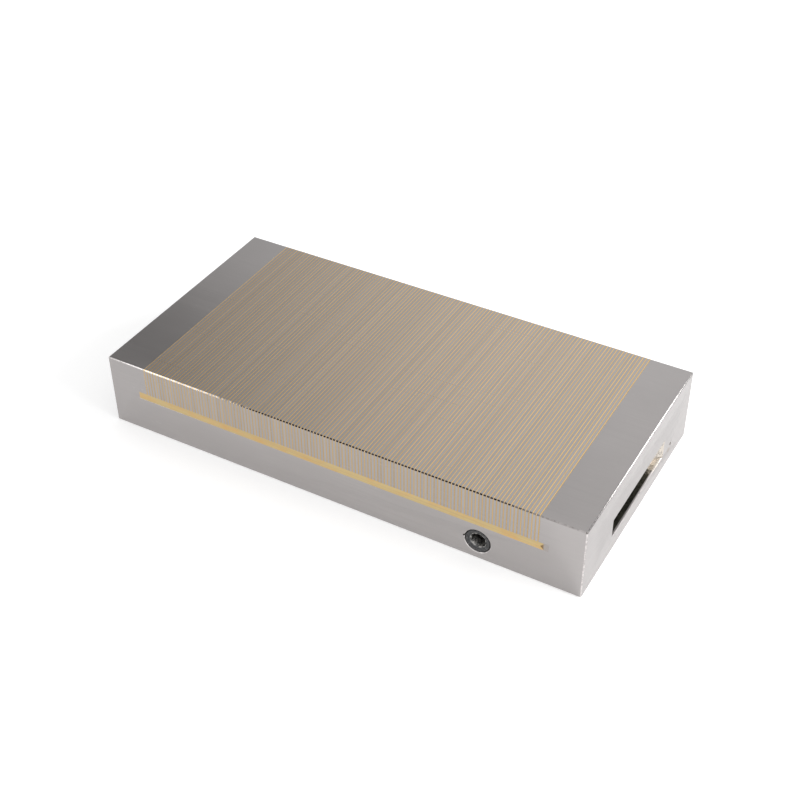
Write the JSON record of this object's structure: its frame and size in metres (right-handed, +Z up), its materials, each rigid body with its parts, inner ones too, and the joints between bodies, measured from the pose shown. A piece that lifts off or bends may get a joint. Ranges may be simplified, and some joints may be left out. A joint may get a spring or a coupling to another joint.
{
  "type": "magnetic chuck",
  "caption": "Rectangular permanent magnetic chuck with a finely laminated steel and brass working face, switched by a half turn of a hexagon socket in its front.",
  "frame": {"origin": "middle of the underside, on the surface that the chuck stands on", "axes": "+X along the chuck, to the right seen from the socket side; +Y from the socket side to the back; +Z up, out of the working face"},
  "size_m": [0.3, 0.15, 0.046],
  "materials": {
    "housing_steel": "ground",
    "plate_steel": "ground",
    "plate_brass": "ground",
    "strip_brass": "ground",
    "pole_iron": "milled",
    "magnet_nickel": "plated",
    "cover_steel": "rolled",
    "rubber": "moulded",
    "screw_steel": "blackened",
    "bronze": "machined",
    "black_steel": "black oxide",
    "hard_steel": "hardened and ground",
    "aluminium": "milled"
  },
  "bodies": {
    "base": {"housing": "housing_steel", "steel_plates": "plate_steel", "brass_plates": "plate_brass", "front_brass_strip": "strip_brass", "back_brass_strip": "strip_brass", "fixed_pole_bars": "pole_iron", "fixed_magnets": "magnet_nickel", "grid_sheet": "strip_brass", "bottom_cover": "cover_steel", "cover_seal": "rubber", "cover_screws": "screw_steel", "wear_strips": "bronze", "front_bush": "bronze", "rear_bush": "bronze", "stop_screw": "screw_steel"},
    "carrier": {"carrier_frame": "aluminium", "cam_plates": "hard_steel", "moving_pole_bars": "pole_iron", "moving_magnets": "magnet_nickel"},
    "shaft": {"cam_shaft": "black_steel", "seal_ring": "rubber"}
  },
  "joints": [
    {"name": "magnet_slide", "type": "slide", "parent": "base", "child": "carrier", "axis": [1, 0, 0], "range_m": [0, 0.006]},
    {"name": "shaft_turn", "type": "hinge", "parent": "base", "child": "shaft", "pos_m": [0.09, 0, 0.012], "axis": [0, 1, 0], "range_deg": [0, 180]}
  ],
  "couplings": [
    {"joint": "shaft_turn", "follows": "magnet_slide", "rad_per_m": 523.6}
  ]
}
